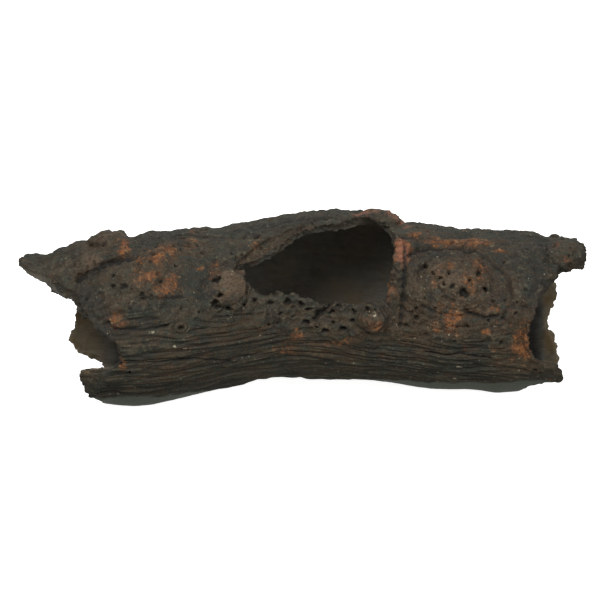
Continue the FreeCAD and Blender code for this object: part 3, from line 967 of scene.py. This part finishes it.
def middle_and_half(node):
    low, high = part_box(node)
    return (high + low) / 2 / MM, (high - low) / 2 / MM


class Carve(bpy.types.Operator):
    """Carves the log if no piece has needed it yet, and then makes pieces from it"""

    bl_options = {"REGISTER", "UNDO"}

    def execute(self, context):
        self.carve(carved_log())
        return {"FINISHED"}


class CarveKnots(Carve):
    """Saws the four knots out of the bark and paints them"""

    bl_idname = "hollow_log.knots"
    bl_label = "Knots"

    def carve(self, log):
        paint = painted_resin("knot_paint", 1.2, 0.05, 0.6)
        for node, lean in (("crest_knot", -4), ("window_boss", 52), ("lower_knot", 81), ("whorl_knot", 48)):
            middle, half = middle_and_half(node)
            across = half.y / max(abs(math.cos(math.radians(lean))), abs(math.sin(math.radians(lean))))
            cutter = pebble(middle, (half.x + 0.6, min(half.x, across) + 0.6, 5.6), lean)
            finish(part_off(log, f"{node}_carved", cutter), node, paint)


class CarveCurl(Carve):
    """Saws off the curl of bark over the window and paints it"""

    bl_idname = "hollow_log.curl"
    bl_label = "Bark curl"

    def carve(self, log):
        middle, half = middle_and_half("window_bark_curl")
        cutter = pebble(middle, (half.x + 1.5, half.y + 1.5, half.z + 1))
        piece = part_off(log, "window_bark_curl_carved", cutter)
        finish(piece, "window_bark_curl", painted_resin("curl_paint", 1.2, 0.0, 0.7))


class CarveEnds(Carve):
    """Saws off the spur, the lip and the stub, and paints them"""

    bl_idname = "hollow_log.ends"
    bl_label = "Broken ends"

    def carve(self, log):
        paint = painted_resin("torn_wood_paint", 1.0, 0.0, 0.7)
        spur = block((-170, -80, 50), (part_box("left_spur")[1].x / MM, 90, 130))
        finish(part_off(log, "left_spur_carved", spur), "left_spur", paint)
        stub = block((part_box("right_stub")[0].x / MM, -80, 50), (170, 90, 130))
        finish(part_off(log, "right_stub_carved", stub), "right_stub", paint)
        lip = block((-170, -80, 14), (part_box("lower_left_lip")[1].x / MM, -20, 33))
        finish(part_off(log, "lower_left_lip_carved", lip), "lower_left_lip", paint)


class CarveBase(Carve):
    """Saws off the base pan and paints it"""

    bl_idname = "hollow_log.base_pan"
    bl_label = "Base pan"

    def carve(self, log):
        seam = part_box("front_bark_shell")[0].z / MM
        cutter = block((-170, -80, -20), (170, 90, seam))
        piece = part_off(log, "base_pan_carved", cutter)
        finish(piece, "base_pan", painted_resin("underside_paint", 0.8, 0.08, 0.5))


class CarveRear(Carve):
    """Saws off the rear wall and paints it"""

    bl_idname = "hollow_log.rear_panel"
    bl_label = "Rear panel"

    def carve(self, log):
        def follow_log(points):
            places, seams = [-107, -75, -54, -27, -8, 37, 110], [13, 13, 19, 28, 31.5, 34, 32]
            seam = np.interp(points[:, 0], places, seams)
            seam = seam - 22 * (1 - ease(18, 26, points[:, 2]))
            nearness = 1 - np.clip(points[:, 1] / 60, 0, 1)
            return points + np.stack([seam * 0, seam * nearness, seam * 0], axis=1)

        cutter = block((-170, 0, -20), (170, 100, 130), bend=follow_log)
        piece = part_off(log, "rear_bark_panel_carved", cutter)
        finish(piece, "rear_bark_panel", painted_resin("rear_bark_paint", 0.9, 0.0, 0.7))


class CarveShell(Carve):
    """Paints what is left of the log, the front shell with the window in it"""

    bl_idname = "hollow_log.front_shell"
    bl_label = "Front shell"

    def carve(self, log):
        log.name = "front_bark_shell_carved"
        finish(log, "front_bark_shell", painted_resin("front_bark_paint", 1.0, 0.0, 0.7))


# ---- stage


class SetStage(bpy.types.Operator):
    """Makes the pale floor, the soft lights and the camera"""

    bl_idname = "hollow_log.stage"
    bl_label = "Stage"
    bl_options = {"REGISTER", "UNDO"}

    def execute(self, context):
        self.floor()
        self.lights()
        self.camera(context)
        return {"FINISHED"}

    def floor(self):
        def shape(bm):
            bmesh.ops.create_grid(bm, x_segments=2, y_segments=2, size=6)

        floor = build("floor", shape)
        paint = Paint("floor_paint")
        colour = bpy.context.scene.log_colours.floor
        paint.feed(paint.shader.inputs["Base Color"], tuple(colour))
        paint.shader.inputs["Roughness"].default_value = 0.9
        paint.shader.inputs["Emission Color"].default_value = (1, 1, 1, 1)
        paint.shader.inputs["Emission Strength"].default_value = 0.9
        floor.data.materials.append(paint.material)
        floor.visible_diffuse = False
        floor.visible_glossy = False

    def lights(self):
        world = bpy.data.worlds.new("studio")
        bpy.context.scene.world = world
        world.use_nodes = True
        tree = world.node_tree
        sky = tree.nodes["Background"]
        sky.inputs["Color"].default_value = (1, 0.98, 0.93, 1)
        sky.inputs["Strength"].default_value = 0.5
        seen = tree.nodes.new("ShaderNodeBackground")
        seen.inputs["Strength"].default_value = 1.0
        seen.inputs["Color"].default_value = (1, 1, 1, 1)
        rays = tree.nodes.new("ShaderNodeLightPath")
        either = tree.nodes.new("ShaderNodeMixShader")
        tree.links.new(rays.outputs["Is Camera Ray"], either.inputs["Fac"])
        tree.links.new(sky.outputs["Background"], either.inputs[1])
        tree.links.new(seen.outputs["Background"], either.inputs[2])
        tree.links.new(either.outputs["Shader"], tree.nodes["World Output"].inputs["Surface"])
        middle = Vector((0, 0, 0.04))
        for name, spot, size, watts in (
            ("key", (-0.5, -0.95, 1.3), 0.8, 25),
            ("fill", (1.0, -0.9, 0.6), 1.0, 8),
            ("back", (0.2, 1.0, 1.1), 0.9, 5),
        ):
            lamp = bpy.data.lights.new(name, "AREA")
            lamp.size = size
            lamp.energy = watts
            holder = bpy.data.objects.new(name, lamp)
            bpy.context.scene.collection.objects.link(holder)
            holder.location = spot
            holder.rotation_euler = (middle - Vector(spot)).to_track_quat("-Z", "Y").to_euler()

    def camera(self, context):
        sizes = context.scene.log_sizes
        target = Vector((-0.0005, 0, 0.0487))
        up = sizes.camera_elevation
        data = bpy.data.cameras.new("camera")
        data.lens = data.sensor_width * sizes.camera_distance / sizes.view_width
        data.clip_end = 100
        camera = bpy.data.objects.new("camera", data)
        bpy.context.scene.collection.objects.link(camera)
        camera.location = target + sizes.camera_distance * Vector((0, -math.cos(up), math.sin(up)))
        camera.rotation_euler = (target - camera.location).to_track_quat("-Z", "Y").to_euler()
        context.scene.camera = camera
        context.scene.view_settings.view_transform = "Standard"


OPERATORS = (CarveKnots, CarveCurl, CarveEnds, CarveBase, CarveRear, CarveShell, SetStage)


class LogPanel(bpy.types.Panel):
    bl_label = "Hollow Log"
    bl_idname = "VIEW3D_PT_hollow_log"
    bl_space_type = "VIEW_3D"
    bl_region_type = "UI"
    bl_category = "Hollow Log"

    def draw(self, context):
        for operator in OPERATORS:
            self.layout.operator(operator.bl_idname)
        for settings in (context.scene.log_sizes, context.scene.log_colours):
            for name in settings.__annotations__:
                self.layout.prop(settings, name)


CLASSES = (LogSizes, LogColours, *OPERATORS, LogPanel)


def register():
    for cls in CLASSES:
        bpy.utils.register_class(cls)
    bpy.types.Scene.log_sizes = bpy.props.PointerProperty(type=LogSizes)
    bpy.types.Scene.log_colours = bpy.props.PointerProperty(type=LogColours)


def unregister():
    del bpy.types.Scene.log_colours
    del bpy.types.Scene.log_sizes
    for cls in reversed(CLASSES):
        bpy.utils.unregister_class(cls)


def main():
    register()
    bpy.ops.hollow_log.knots()
    bpy.ops.hollow_log.curl()
    bpy.ops.hollow_log.ends()
    bpy.ops.hollow_log.base_pan()
    bpy.ops.hollow_log.rear_panel()
    bpy.ops.hollow_log.front_shell()
    bpy.ops.hollow_log.stage()


if __name__ == "__main__":
    main()
